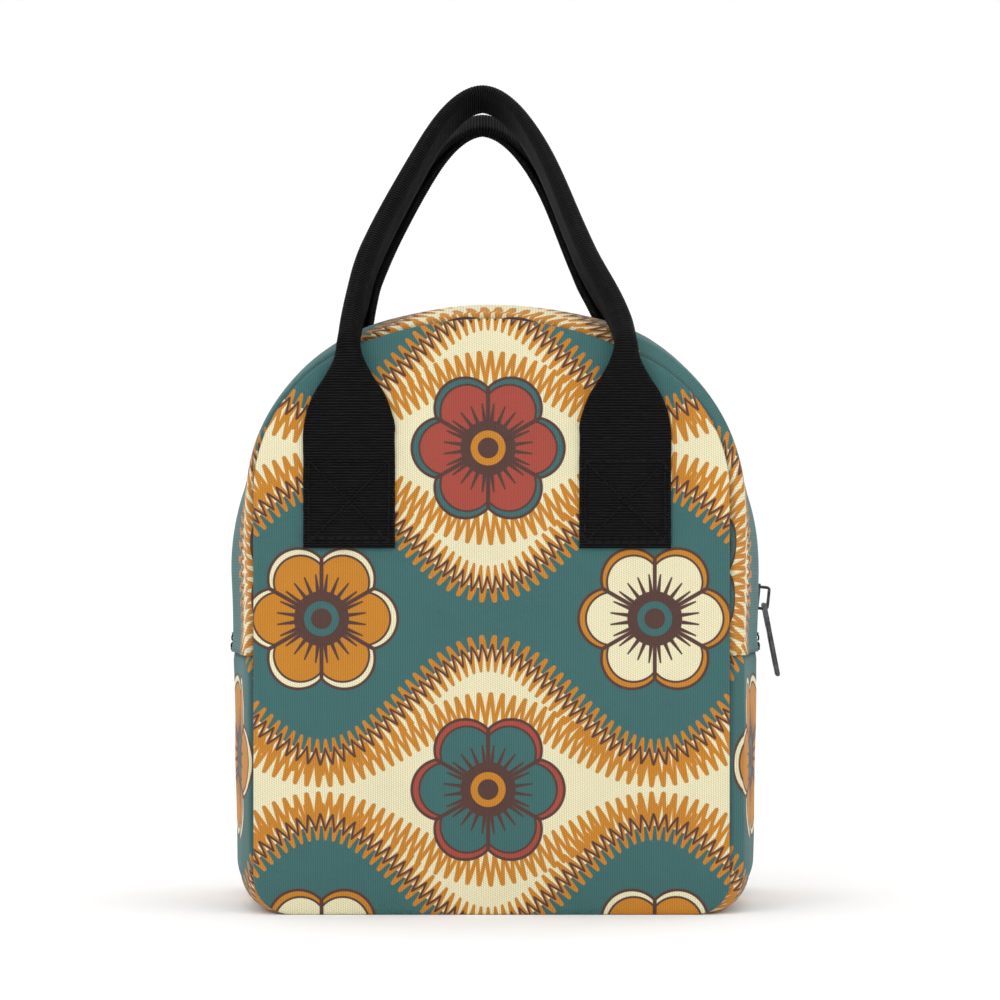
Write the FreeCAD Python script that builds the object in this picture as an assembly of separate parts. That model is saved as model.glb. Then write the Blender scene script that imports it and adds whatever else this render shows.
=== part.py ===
"""Soft insulated lunch bag: arched front and back panels, a gusset that goes all the way round with a zip over the
top, and a webbing handle on each panel.

Millimetres. +Z is up, the bag stands on z = 0 with its origin under its middle, the front faces -Y and the zip's
slider is parked low on the +X side. The zip follows one circular arch, so that its slider can run along it. When the
zip is open, the front and back halves fold outwards about the line through the zip's two ends. The cloth that
crumples under each half is in nodes of its own.
"""
import FreeCAD
import Part
import math
import os
from collections import namedtuple

Vec = FreeCAD.Vector

# ---- driving dimensions ----
DEPTH = 130.0                      # outer face of the front panel to outer face of the back panel
SKIN, FOAM, LINING = 1.2, 4.0, 0.6  # thickness of the three layers of every wall
WALL = SKIN + FOAM + LINING
LAYERS = (("skin", 0.0, SKIN), ("foam", SKIN, SKIN + FOAM), ("lining", SKIN + FOAM, WALL))

# An arch is a flat base with rounded corners, sides that draw in to the foot, two shoulder arcs and a top arc.
Arch = namedtuple("Arch", "half_width foot top top_radius shoulder_radius base_radius")
PANEL = Arch(100.0, 100.0, 246.5, 155.0, 65.0, 16.0)        # front and back panels
GUSSET_EDGE = Arch(103.0, 102.0, 249.0, 157.0, 72.0, 17.0)   # gusset where it meets a panel
GUSSET_ROLL = Arch(103.2, 105.5, 252.0, 160.0, 80.0, 18.0)   # gusset where it rolls over beside the panel
ZIP_RADIUS = 112.0                                           # outer radius of the gusset beside the zip
GUSSET_MIDDLE = Arch(112.0, 109.5, 253.5, ZIP_RADIUS, ZIP_RADIUS, 20.0)
MIDDLE_SPLIT_DEG = 58.0            # where the zip's arch is divided into shoulder and top
ROLL_Y = 48.0                      # the roll's distance from the middle plane
MIDDLE_Y = 16.0                    # the gusset is a plain arch this far each side of the zip
ZIP_CENTRE_Z = GUSSET_MIDDLE.top - ZIP_RADIUS

BINDING = 1.4                      # thickness of the tape that binds the inner seam
BINDING_WIDTH = 7.0

SEAM_Z = 107.0                     # seam between the lower gusset and the zip's gusset
END_STITCHING = (107.5, 115.0)     # heights of the sewn box that closes each end of the zip
END_STITCHING_HALF = 13.0

FOLD_Z = 139.0                     # height of the line that the two halves fold about
OPENING_DEG = 35.0                 # how far each half opens
FOLD_MARGIN_DEG = 1.0

SLOT_HALF = 7.5                    # half of the gap in the gusset that shows the zip
SLOT_BOTTOM_Z = 116.0
TAPE_IN, TAPE_OUT = 109.96, 110.76   # radii of the zip tape's two faces
TAPE_HALF = 15.0
TEETH_IN, TEETH_OUT = 109.3, 111.5
TEETH_GAP, TEETH_HALF = 0.4, 2.6   # inner and outer distance of a tooth row from the middle plane
ZIP_END_DEG = -11.7                # the zip's lower ends, below the level of its centre
STOP_DEG = 1.2                     # length of a stop along the arch

SLIDER_DEG = -6.0                  # the parked slider's middle
SLIDER_SPAN_DEG = 6.0
SLIDER_HALF = 4.5
SLIDER_WEB = 0.2                   # half thickness of the web that joins its two plates
PLATE_OUT, PLATE_IN = 113.7, 107.3
PLATE = 1.2
SLIT_OUT, SLIT_IN = 111.2, 109.6   # the flanges leave this slit for the tape
FLANGE = 1.2
BRIDGE_OUT, BRIDGE_HALF_LENGTH, BRIDGE_HALF_WIDTH = 118.3, 5.2, 1.3
BRIDGE_WALL = 1.25

PIN_RADIUS = 0.8                   # the puller's cross bar under the bridge
PIN_CLEARANCE = 0.15
PULLER_LENGTH, PULLER_HALF_WIDTH, PULLER_THICKNESS = 31.0, 3.4, 2.0
PULLER_EYE = 9.5                   # from the cross bar to the end of the eye
PULLER_ARM = 1.3
PULLER_RECESS = 0.35               # depth of the hollow in each face of the tab
PULLER_TILT_DEG = 11.0             # the hanging puller stands off the side by this much

WEBBING, WEB_THICKNESS = 38.0, 1.8
PATCH_SPACING = 57.0               # a handle's sewn end, from the handle's middle
HANDLE_SHIFT = -3.3                # the handles are sewn on a little off the bag's middle
LOOP_SWAY, LEG_SWAY = -2.2, -1.8   # and each loop leans more to the same side, its legs most of all
PATCH_BOTTOM_Z, HANDLE_Z = 151.5, 190.0
THREAD = 0.4
STITCH_WIDTH = 1.0
STITCH_INSET = 2.5
HANDLE_AXIS_Y = DEPTH / 2 + 2.2    # the line that a handle swings about, in front of its panel
HANDLE_GAP = 0.3                   # between the loose webbing and the panel
LEG_LEAN = {"front": 30.0, "back": 33.0}      # how far each handle leans over the bag
LOOP_HEIGHT = {"front": 126.8, "back": 118.4}  # along the leaning part, to the top of the loop
LOOP_TIP = {"front": 26.0, "back": 31.0}       # twice the radius of the loop's tip
LOOP_BULGE = 30.0                  # how much the legs bow outwards just above the bag
LOOP_STEPS = 13
LEAN_Z, LEAN_Y = 239.0, 75.5       # where the folded webbing starts to lean
FOOT_WIDTH, TIP_WIDTH = 9.4, 3.8   # across the folded webbing, where it starts to lean and at the tip
FOOT_DEPTH, DEPTH_GROWTH = 6.0, 0.36
FOLDED_DEPTH = {"front": 16.5, "back": 14.5}

FRONT_Y = -DEPTH / 2
INNER_Y = DEPTH / 2 - WALL         # inner face of a panel
FAR = 400.0


# ---- arches ----
def arch_wire(arch, y, inset):
    """The arch's outline in the plane y, all round inset inwards."""
    half, foot, top, base = arch.half_width - inset, arch.foot - inset, arch.top - inset, inset
    r_top, r_shoulder = arch.top_radius - inset, arch.shoulder_radius - inset
    r_base = arch.base_radius - inset
    top_z = arch.top - arch.top_radius
    shoulder_x = arch.half_width - arch.shoulder_radius
    rise = math.sqrt(max(0.0, (arch.top_radius - arch.shoulder_radius) ** 2 - shoulder_x ** 2))
    shoulder_z = top_z + rise
    split = math.atan2(rise, shoulder_x) if rise else math.radians(MIDDLE_SPLIT_DEG)

    def on(x, z, radius, angle):
        return Vec(x + radius * math.cos(angle), y, z + radius * math.sin(angle))

    quarter = math.pi / 2
    right = [Vec(foot - r_base, y, base),
             on(foot - r_base, base + r_base, r_base, -quarter / 2),
             Vec(foot, y, base + r_base),
             Vec(half, y, shoulder_z),
             on(shoulder_x, shoulder_z, r_shoulder, split / 2),
             on(shoulder_x, shoulder_z, r_shoulder, split)]
    left = [Vec(-p.x, p.y, p.z) for p in right]
    apex = Vec(0, y, top)
    edges = [Part.LineSegment(left[0], right[0]),
             Part.Arc(right[0], right[1], right[2]),
             Part.LineSegment(right[2], right[3]),
             Part.Arc(right[3], right[4], right[5]),
             Part.Arc(right[5], apex, left[5]),
             Part.Arc(left[5], left[4], left[3]),
             Part.LineSegment(left[3], left[2]),
             Part.Arc(left[2], left[1], left[0])]
    return Part.Wire([e.toShape() for e in edges])


def gusset_body(inset, overhang=0.0):
    """The solid inside the gusset's surface, inset by a part of the wall; overhang runs it past the panels."""
    half = [(GUSSET_EDGE, INNER_Y), (GUSSET_ROLL, ROLL_Y), (GUSSET_MIDDLE, MIDDLE_Y)]
    if overhang:
        half.insert(0, (GUSSET_EDGE, INNER_Y + overhang))
    sections = [(a, -y) for a, y in half] + [(a, y) for a, y in reversed(half)]
    return Part.makeLoft([arch_wire(a, y, inset) for a, y in sections], True, True)


def gusset_layer(outer, inner):
    """One layer of the gusset: the ring between two insets."""
    return gusset_body(outer).cut(gusset_body(inner, overhang=3.0))


def panel_layer(side, outer, inner):
    """One layer of the front (side -1) or back (side 1) panel."""
    face = Part.Face(arch_wire(PANEL, side * (DEPTH / 2 - outer), 0.0))
    return face.extrude(Vec(0, side * (outer - inner), 0))


def box(x0, x1, y0, y1, z0, z1):
    return Part.makeBox(x1 - x0, y1 - y0, z1 - z0, Vec(x0, y0, z0))


# ---- the zip's circular arch ----
def zip_ring(r_in, r_out, y0, y1, start_deg, end_deg):
    """A ring sector about the zip's centre line; angles run from +X upwards."""
    corners = [Vec(r, y, ZIP_CENTRE_Z) for r, y in ((r_in, y0), (r_out, y0), (r_out, y1), (r_in, y1))]
    face = Part.Face(Part.makePolygon(corners + corners[:1]))
    centre = Vec(0, 0, ZIP_CENTRE_Z)
    face.rotate(centre, Vec(0, -1, 0), start_deg)
    return face.revolve(centre, Vec(0, -1, 0), end_deg - start_deg)


def along_zip(shape, degrees):
    """Moves a shape made at the +X end of the zip's centre level to another place on the arch."""
    moved = shape.copy()
    moved.rotate(Vec(0, 0, ZIP_CENTRE_Z), Vec(0, -1, 0), degrees)
    return moved


# ---- the three regions that a half is divided into ----
def yz_prism(points):
    """A prism across the whole bag with this (y, z) outline."""
    corners = [Vec(-FAR, y, z) for y, z in points]
    return Part.Face(Part.makePolygon(corners + corners[:1])).extrude(Vec(2 * FAR, 0, 0))


def regions(side):
    """The space of the half that opens, of the cloth that crumples under it, and of what stays still."""
    angle = math.radians(OPENING_DEG + FOLD_MARGIN_DEG)
    hinge = (0.0, FOLD_Z)
    outer = (side * FAR, FOLD_Z)
    low = (side * FAR, FOLD_Z - FAR * math.tan(angle))
    opens = yz_prism([hinge, outer, (side * FAR, FAR), (0.0, FAR)])
    crumples = yz_prism([hinge, outer, low])
    stays = yz_prism([hinge, low, (0.0, low[1])])
    return {"opens": opens, "crumples": crumples, "stays": stays}


SIDES = {"front": -1, "back": 1}
REGIONS = {name: regions(side) for name, side in SIDES.items()}


def part_of(shape, half, region):
    return shape.common(REGIONS[half][region])


def solids_of(*shapes):
    return [s for shape in shapes for s in shape.Solids if s.Volume > 0.5]


NODES = {}


def add(name, *shapes):
    """Keeps a node: one solid, or several in one compound."""
    solids = solids_of(*shapes)
    NODES[name] = solids[0] if len(solids) == 1 else Part.makeCompound(solids)


# ---- walls ----
def make_walls():
    slot = box(-FAR, FAR, -SLOT_HALF, SLOT_HALF, SLOT_BOTTOM_Z, FAR)
    # room for the zip tape between skin and foam
    tape_room = zip_ring(TAPE_IN - 0.01, TAPE_OUT, -TAPE_HALF, TAPE_HALF, ZIP_END_DEG, 180 - ZIP_END_DEG)
    for layer, outer, inner in LAYERS:
        ring = gusset_layer(outer, inner).cut(slot)
        if layer != "skin":
            ring = ring.cut(tape_room)
        still = [part_of(ring, half, "stays") for half in SIDES]
        still = still[0].fuse(still[1]).removeSplitter()
        if layer == "skin":
            add("zip_gusset_ends_skin", still.common(box(-FAR, FAR, -FAR, FAR, SEAM_Z, FAR)))
            still = still.common(box(-FAR, FAR, -FAR, FAR, -1.0, SEAM_Z))
        add(f"lower_gusset_{layer}", still)
        for half, side in SIDES.items():
            panel = panel_layer(side, outer, inner)
            add(f"{half}_panel_upper_{layer}", part_of(panel, half, "opens"))
            add(f"{half}_panel_lower_{layer}", part_of(panel, half, "stays"))
            add(f"{half}_gusset_{layer}", part_of(ring, half, "opens"))
            add(f"{half}_fold_{layer}", part_of(panel, half, "crumples"), part_of(ring, half, "crumples"))


def make_bindings():
    """The tape that binds the raw seam edges inside the bag, where a panel meets the gusset."""
    ring = gusset_layer(WALL, WALL + BINDING)
    for half, side in SIDES.items():
        near, far = sorted((side * INNER_Y, side * (INNER_Y - BINDING_WIDTH)))
        tape = ring.common(box(-FAR, FAR, near, far, -1.0, FAR))
        add(f"{half}_binding_upper", part_of(tape, half, "opens"))
        add(f"{half}_binding_lower", part_of(tape, half, "stays"))
        add(f"{half}_fold_binding", part_of(tape, half, "crumples"))


# ---- zip ----
def make_zip():
    end = 180 - ZIP_END_DEG
    ends = {"tape": [], "teeth": []}
    for half, side in SIDES.items():
        bands = {"tape": (TAPE_IN, TAPE_OUT, TEETH_HALF, TAPE_HALF),
                 "teeth": (TEETH_IN, TEETH_OUT, TEETH_GAP, TEETH_HALF)}
        for name, (r_in, r_out, near, far) in bands.items():
            y0, y1 = sorted((side * near, side * far))
            band = zip_ring(r_in, r_out, y0, y1, ZIP_END_DEG, end)
            add(f"{half}_zip_{name}", part_of(band, half, "opens"))
            ends[name].append(part_of(band, half, "stays"))
            if name == "tape":
                add(f"{half}_fold_tape", part_of(band, half, "crumples"))
    stops = []
    low = ZIP_END_DEG + STOP_DEG
    for side in SIDES.values():
        y0, y1 = sorted((side * TEETH_GAP, side * (TEETH_HALF + 0.6)))
        stops.append(zip_ring(TEETH_IN - 0.4, TEETH_OUT + 0.4, y0, y1, low, low + STOP_DEG))
    bottom = zip_ring(TEETH_IN - 0.4, TEETH_OUT + 0.4, -TEETH_HALF - 0.6, TEETH_HALF + 0.6,
                      180 - low - STOP_DEG, 180 - low)
    for name, bands in ends.items():
        add(f"zip_{name}_ends", *[b.cut(Part.makeCompound(stops + [bottom])) for b in bands])
    add("zip_top_stops", *stops)
    add("zip_bottom_stop", bottom)


def make_end_stitching():
    """A box of thread across the seam below each end of the zip."""
    z0, z1 = END_STITCHING
    outer, w = END_STITCHING_HALF, STITCH_WIDTH
    frame = box(-FAR, FAR, -outer, outer, z0, z1).cut(box(-FAR, FAR, w - outer, outer - w, z0 + w, z1 - w))
    thread = gusset_body(-THREAD).cut(gusset_body(0.0, overhang=3.0))
    add("zip_end_stitching", thread.common(frame))


def make_slider():
    """Two curved plates joined by a web that runs between the tooth rows, with a bridge for the puller."""
    reach = SLIDER_SPAN_DEG / 2
    plates = [(PLATE_OUT - PLATE, PLATE_OUT), (PLATE_IN, PLATE_IN + PLATE)]
    flanges = [(SLIT_OUT, PLATE_OUT - PLATE), (PLATE_IN + PLATE, SLIT_IN)]
    pieces = [zip_ring(a, b, -SLIDER_HALF, SLIDER_HALF, -reach, reach) for a, b in plates]
    for side in (-1, 1):
        y0, y1 = sorted((side * (SLIDER_HALF - FLANGE), side * SLIDER_HALF))
        pieces += [zip_ring(a, b, y0, y1, -reach, reach) for a, b in flanges]
    pieces.append(zip_ring(PLATE_IN + PLATE / 2, PLATE_OUT - PLATE / 2, -SLIDER_WEB, SLIDER_WEB, 0.5, reach))
    window_out, window_half = BRIDGE_OUT - BRIDGE_WALL, BRIDGE_HALF_LENGTH - BRIDGE_WALL
    bridge = box(PLATE_OUT - PLATE / 2, BRIDGE_OUT, -BRIDGE_HALF_WIDTH, BRIDGE_HALF_WIDTH,
                 ZIP_CENTRE_Z - BRIDGE_HALF_LENGTH, ZIP_CENTRE_Z + BRIDGE_HALF_LENGTH)
    rounded = [e for e in bridge.Edges
               if abs(e.CenterOfMass.x - BRIDGE_OUT) < 0.01 and abs(e.CenterOfMass.y) < 0.01]
    bridge = bridge.makeFillet(1.8, rounded)
    rims = [e for e in bridge.Edges
            if abs(abs(e.CenterOfMass.y) - BRIDGE_HALF_WIDTH) < 0.01 and e.BoundBox.XMax > BRIDGE_OUT - 2.5
            and e.CenterOfMass.x > BRIDGE_OUT - 1.9]
    bridge = bridge.makeFillet(0.5, rims)
    window = box(PLATE_OUT, window_out, -FAR, FAR, ZIP_CENTRE_Z - window_half, ZIP_CENTRE_Z + window_half)
    body = pieces[0].multiFuse(pieces[1:] + [bridge.cut(window)]).removeSplitter()
    add("zip_slider", along_zip(body, SLIDER_DEG))


def puller_pivot():
    """The middle of the puller's cross bar, at the lower end of the bridge's window."""
    window_out, window_half = BRIDGE_OUT - BRIDGE_WALL, BRIDGE_HALF_LENGTH - BRIDGE_WALL
    pivot = Vec(window_out - PIN_CLEARANCE - PIN_RADIUS, 0, -window_half + PIN_CLEARANCE + PIN_RADIUS)
    turn = math.radians(SLIDER_DEG)
    return Vec(pivot.x * math.cos(turn) - pivot.z * math.sin(turn), 0,
               ZIP_CENTRE_Z + pivot.x * math.sin(turn) + pivot.z * math.cos(turn))


def make_puller():
    """A cross bar under the slider's bridge, two arms and a flat tab, hanging almost straight down."""
    pin = Part.makeCylinder(PIN_RADIUS, 2 * PULLER_HALF_WIDTH, Vec(0, -PULLER_HALF_WIDTH, 0), Vec(0, 1, 0))
    half = PULLER_THICKNESS / 2
    arms = []
    for side in (-1, 1):
        y0, y1 = sorted((side * PULLER_HALF_WIDTH, side * (PULLER_HALF_WIDTH - PULLER_ARM)))
        round_end = Part.makeCylinder(half, PULLER_ARM, Vec(0, y0, 0), Vec(0, 1, 0))
        arms += [round_end, box(-half, half, y0, y1, -PULLER_EYE, 0)]
    tab = box(-half, half, -PULLER_HALF_WIDTH, PULLER_HALF_WIDTH, -PULLER_LENGTH, -PULLER_EYE)
    tip = [e for e in tab.Edges if abs(e.CenterOfMass.z + PULLER_LENGTH) < 0.01 and abs(e.CenterOfMass.y) < 1]
    tab = tab.makeChamfer(0.6, tip)
    long_edges = [e for e in tab.Edges if e.BoundBox.ZLength > 15]
    tab = tab.makeFillet(0.5, long_edges)
    for side in (-1, 1):
        x0, x1 = sorted((side * (half - PULLER_RECESS), side * (half + 1)))
        hollow = box(x0, x1, -1.7, 1.7, 4.0 - PULLER_LENGTH, -PULLER_EYE - 3.0)
        upright = [e for e in hollow.Edges if e.BoundBox.XLength > 0.5]
        tab = tab.cut(hollow.makeFillet(1.6, upright))
    body = pin.multiFuse(arms + [tab]).removeSplitter()
    body.rotate(Vec(0, 0, 0), Vec(0, -1, 0), PULLER_TILT_DEG)
    body.translate(puller_pivot())
    add("zip_puller", body)


# ---- handles ----
def strap_section(outer_edge, across, rearwards, width, depth):
    """A rectangle with one corner on the webbing's outer front edge; across points away from the loop's middle."""
    inner_edge = outer_edge - across * width
    corners = [outer_edge, inner_edge, inner_edge + rearwards * depth, outer_edge + rearwards * depth]
    return Part.makePolygon(corners + corners[:1])


def leg_sections(half, side, leg):
    """One leg of a loop from its sewn end to the tip: flat, then drawn together, then folded and leaning over."""
    flat_front = DEPTH / 2 + HANDLE_GAP + WEB_THICKNESS - 0.3
    lean, height = math.radians(LEG_LEAN[half]), LOOP_HEIGHT[half]
    sections = []
    # below the lean: (height, width, distance of the front face from the middle plane)
    for z, width, y in ((HANDLE_Z + 0.4, WEBBING, flat_front), (200.0, WEBBING, flat_front),
                        (208.0, 35.0, flat_front + 0.6), (215.5, 29.0, 68.4), (222.5, 20.0, 70.2),
                        (229.0, 13.0, 72.6)):
        edge = Vec(HANDLE_SHIFT + leg * (PATCH_SPACING + width / 2), side * y, z)
        sections.append(strap_section(edge, Vec(leg, 0, 0), Vec(0, -side, 0), width,
                                      y - DEPTH / 2 - HANDLE_GAP))
    up = Vec(0, -side * math.sin(lean), math.cos(lean))
    rear = Vec(0, -side * math.cos(lean), -math.sin(lean))
    foot_x, tip = PATCH_SPACING + FOOT_WIDTH / 2, LOOP_TIP[half]
    # the outer edge is x * x = tip * s + spread * s ** 3, where s is measured down from the tip
    spread = (foot_x ** 2 / height - tip) / height ** 2
    for step in range(LOOP_STEPS, -1, -1):
        s = height * (step / LOOP_STEPS) ** 2
        share = s / height
        x = math.sqrt(tip * s + spread * s ** 3) + LOOP_BULGE * share ** 4 * (1 - share)
        above = height - s
        turn = math.atan2(tip + 3 * spread * s * s, 2 * x) * min(1.0, above / 12.0)
        width = TIP_WIDTH + (FOOT_WIDTH - TIP_WIDTH) * math.sqrt(s / height)
        depth = min(FOLDED_DEPTH[half], FOOT_DEPTH + DEPTH_GROWTH * above)
        shift = HANDLE_SHIFT + LOOP_SWAY * min(1.0, (above / 40.0) ** 2)
        shift += LEG_SWAY * math.sin(math.pi * min(1.0, above / 100.0)) ** 2
        edge = Vec(shift + leg * x, side * LEAN_Y, LEAN_Z) + up * above
        across = Vec(leg * math.cos(turn), 0, 0) + up * math.sin(turn)
        sections.append(strap_section(edge, across, rear, width, depth))
    return sections


def handle_loop(half, side):
    """The loose webbing, from one sewn end over the tip to the other."""
    right, left = leg_sections(half, side, 1), leg_sections(half, side, -1)
    return Part.makeLoft(right + left[-2::-1], True, True)


def stitch_pattern(x, side):
    """Thread sewn as a box with a cross in it, standing proud of the patch."""
    face = DEPTH / 2 + WEB_THICKNESS
    y0, y1 = sorted((side * face, side * (face + THREAD)))
    half_x, z0, z1 = WEBBING / 2 - STITCH_INSET, PATCH_BOTTOM_Z + STITCH_INSET, HANDLE_Z - STITCH_INSET
    w = STITCH_WIDTH / 2
    outer = box(x - half_x - w, x + half_x + w, y0, y1, z0 - w, z1 + w)
    frame = outer.cut(box(x - half_x + w, x + half_x - w, y0 - 1, y1 + 1, z0 + w, z1 - w))
    middle = Vec(x, y0, (z0 + z1) / 2)
    length = math.hypot(2 * half_x, z1 - z0)
    tilt = math.degrees(math.atan2(z1 - z0, 2 * half_x))
    bars = []
    for angle in (tilt, -tilt):
        bar = box(-length / 2, length / 2, 0, y1 - y0, -w, w)
        bar.rotate(Vec(0, 0, 0), Vec(0, 1, 0), angle)
        bar.translate(middle)
        bars.append(bar.common(outer))
    return frame.multiFuse(bars).removeSplitter()


def make_handles():
    for half, side in SIDES.items():
        y0, y1 = sorted((side * DEPTH / 2, side * (DEPTH / 2 + WEB_THICKNESS)))
        patches = {"left": HANDLE_SHIFT - PATCH_SPACING, "right": HANDLE_SHIFT + PATCH_SPACING}
        for name, x in patches.items():
            add(f"{half}_handle_patch_{name}",
                box(x - WEBBING / 2, x + WEBBING / 2, y0, y1, PATCH_BOTTOM_Z, HANDLE_Z))
        add(f"{half}_handle_stitching", *[stitch_pattern(x, side) for x in patches.values()])
        add(f"{half}_handle", handle_loop(half, side))


make_walls()
make_bindings()
make_zip()
make_end_stitching()
make_slider()
make_puller()
make_handles()

os.makedirs("parts", exist_ok=True)
for name, shape in NODES.items():
    if not shape.isValid():
        print("not valid:", name)
    shape.exportStep(f"parts/{name}.step")
pivot = puller_pivot()
print(f"{len(NODES)} nodes; puller pivot x {pivot.x:.3f} z {pivot.z:.3f}; zip centre z {ZIP_CENTRE_Z:.2f}")
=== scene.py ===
"""The look of the soft insulated lunch bag: printed canvas over padding, webbing handles, zip and lining.

Lengths are in millimetres, apart from the studio's floor and lights, which are in metres. The print and the
weaves follow a "cloth" attribute on every piece of the bag made here: millimetres across, millimetres along,
and nearness to a seam or an edge, from 0 to 1.
"""
from collections import namedtuple
from math import acos, atan2, copysign, cos, degrees, dist, pi, radians, sin, sqrt

import bmesh
import bpy
import numpy as np
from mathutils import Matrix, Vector, noise


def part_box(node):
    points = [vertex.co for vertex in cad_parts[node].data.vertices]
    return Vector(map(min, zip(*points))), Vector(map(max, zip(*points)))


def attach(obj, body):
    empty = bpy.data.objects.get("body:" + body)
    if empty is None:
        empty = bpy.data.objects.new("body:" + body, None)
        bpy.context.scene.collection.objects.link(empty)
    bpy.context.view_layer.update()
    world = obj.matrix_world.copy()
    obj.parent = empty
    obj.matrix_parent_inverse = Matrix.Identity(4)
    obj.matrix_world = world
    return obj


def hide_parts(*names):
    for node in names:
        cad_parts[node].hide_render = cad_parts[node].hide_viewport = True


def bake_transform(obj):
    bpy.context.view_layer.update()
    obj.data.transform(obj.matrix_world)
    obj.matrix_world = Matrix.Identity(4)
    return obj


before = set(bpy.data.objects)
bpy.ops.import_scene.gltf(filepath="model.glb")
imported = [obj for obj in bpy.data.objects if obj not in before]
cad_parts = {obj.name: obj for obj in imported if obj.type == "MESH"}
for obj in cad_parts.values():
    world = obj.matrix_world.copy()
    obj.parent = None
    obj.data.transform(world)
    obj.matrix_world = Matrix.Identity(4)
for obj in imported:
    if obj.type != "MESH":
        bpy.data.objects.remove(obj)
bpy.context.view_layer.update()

MM = 0.001
NODES = sorted(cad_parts)


def nodes_like(*words):
    """The CAD nodes whose names hold one of these words."""
    return [n for n in NODES if any(w in n for w in words)]


def corners_mm(node):
    """A CAD node's lowest and highest corners, in millimetres."""
    low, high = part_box(node)
    return Vector(low) / MM, Vector(high) / MM


# ---- sizes, in millimetres, from the frame and the shape of the bag ----
PANEL_LOW, PANEL_HIGH = corners_mm("front_panel_upper_skin")
SIDE_HIGH = corners_mm("front_gusset_skin")[1]
PATCH_LOW, PATCH_HIGH = corners_mm("front_handle_patch_right")
PANEL_Y = -PANEL_LOW.y
SEAM_Z = corners_mm("zip_gusset_ends_skin")[0].z

Arch = namedtuple("Arch", "half_width foot top top_radius shoulder_radius base_radius")
PANEL = Arch(PANEL_HIGH.x, PANEL_HIGH.x, PANEL_HIGH.z, 155.0, 65.0, 16.0)
EDGE = Arch(103.0, 102.0, 249.0, 157.0, 72.0, 17.0)
ROLL = Arch(103.2, 105.5, 252.0, 160.0, 80.0, 18.0)
MIDDLE = Arch(SIDE_HIGH.x, 109.5, SIDE_HIGH.z, 112.0, 112.0, 20.0)
ZIP_CENTRE_Z = MIDDLE.top - MIDDLE.top_radius

WEBBING = PATCH_HIGH.x - PATCH_LOW.x
HANDLE_SHIFT = -3.3                # the handles are sewn on a little left of the bag's middle
PATCH_SPACING = (PATCH_LOW.x + PATCH_HIGH.x) / 2 - HANDLE_SHIFT
WEB_THICKNESS = 1.8
PATCH_TOP = PATCH_HIGH.z
PATCH_BOTTOM = PATCH_LOW.z

# ---- colours, as seen, from 0 to 255 ----
TEAL, CREAM, MUSTARD = (60, 106, 105), (236, 228, 190), (200, 131, 37)
RED, BROWN = (168, 74, 61), (86, 58, 52)
BLACK = (13, 13, 14)


def linear(colour):
    """A colour as seen, as the linear values that shaders take."""
    shares = [c / 255 for c in colour]
    return tuple(s / 12.92 if s <= 0.04 else ((s + 0.055) / 1.055) ** 2.4 for s in shares) + (1.0,)


# ---- arithmetic in a material's node tree ----
def operation(name):
    """A method that adds one Math node of this kind."""
    def add_node(self, *others):
        return self.math(name, *others)
    return add_node


class Num:
    """A number in a node tree. Arithmetic on it adds Math nodes."""

    def __init__(self, tree, socket):
        self.tree, self.socket = tree, socket

    def math(self, kind, *others):
        node = self.tree.nodes.new("ShaderNodeMath")
        node.operation = kind
        for slot, value in zip(node.inputs, (self,) + others):
            if isinstance(value, Num):
                self.tree.links.new(value.socket, slot)
            else:
                slot.default_value = value
        return Num(self.tree, node.outputs[0])

    __add__ = __radd__ = operation("ADD")
    __mul__ = operation("MULTIPLY")
    __sub__ = operation("SUBTRACT")
    __truediv__ = operation("DIVIDE")
    abs = operation("ABSOLUTE")
    sin = operation("SINE")
    cos = operation("COSINE")
    sqrt = operation("SQRT")
    power = operation("POWER")
    least = operation("MINIMUM")
    most = operation("MAXIMUM")
    above = operation("GREATER_THAN")
    fraction = operation("FRACT")

    def __rsub__(self, other):
        return (self * -1.0) + other

    def wrap(self, low, high):
        return self.math("WRAP", high, low)

    def clamp(self):
        node = self.tree.nodes.new("ShaderNodeClamp")
        self.tree.links.new(self.socket, node.inputs[0])
        return Num(self.tree, node.outputs[0])


INK_SOFTNESS = 0.28


def inside(distance):
    """1 where a signed distance is negative, 0 where it is positive, with a soft inked edge."""
    return (distance * (-1.0 / INK_SOFTNESS) + 0.5).clamp()


def colour_mix(tree, share, first, second, how="MIX"):
    """Colour sockets or colours as seen, mixed by a Num or a number; returns a colour socket."""
    node = tree.nodes.new("ShaderNodeMix")
    node.data_type, node.blend_type = "RGBA", how
    factor, a, b = node.inputs[0], node.inputs[6], node.inputs[7]
    if isinstance(share, Num):
        tree.links.new(share.socket, factor)
    else:
        factor.default_value = share
    for slot, value in ((a, first), (b, second)):
        if isinstance(value, tuple):
            slot.default_value = linear(value)
        else:
            tree.links.new(value, slot)
    return node.outputs[2]


def set_inputs(node, **values):
    """Sets inputs by name, with _ for a space."""
    for name, value in values.items():
        node.inputs[name.replace("_", " ")].default_value = value


def noise_num(tree, vector, scale, detail=3.0, roughness=0.55):
    """Noise as a Num, about 0 to 1."""
    node = tree.nodes.new("ShaderNodeTexNoise")
    set_inputs(node, Scale=scale, Detail=detail, Roughness=roughness)
    tree.links.new(vector, node.inputs["Vector"])
    return Num(tree, node.outputs[0])


def new_material(name, roughness=0.8):
    """A material with a Principled shader; returns the material, its tree and the shader."""
    material = bpy.data.materials.new(name)
    material.use_nodes = True
    tree = material.node_tree
    shader = tree.nodes["Principled BSDF"]
    set_inputs(shader, Roughness=roughness)
    return material, tree, shader


def feed(tree, shader, colour, rough=None):
    """Gives the shader its colour socket, and its roughness as a Num."""
    tree.links.new(colour, shader.inputs["Base Color"])
    if rough is not None:
        tree.links.new(rough.clamp().socket, shader.inputs["Roughness"])


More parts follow.
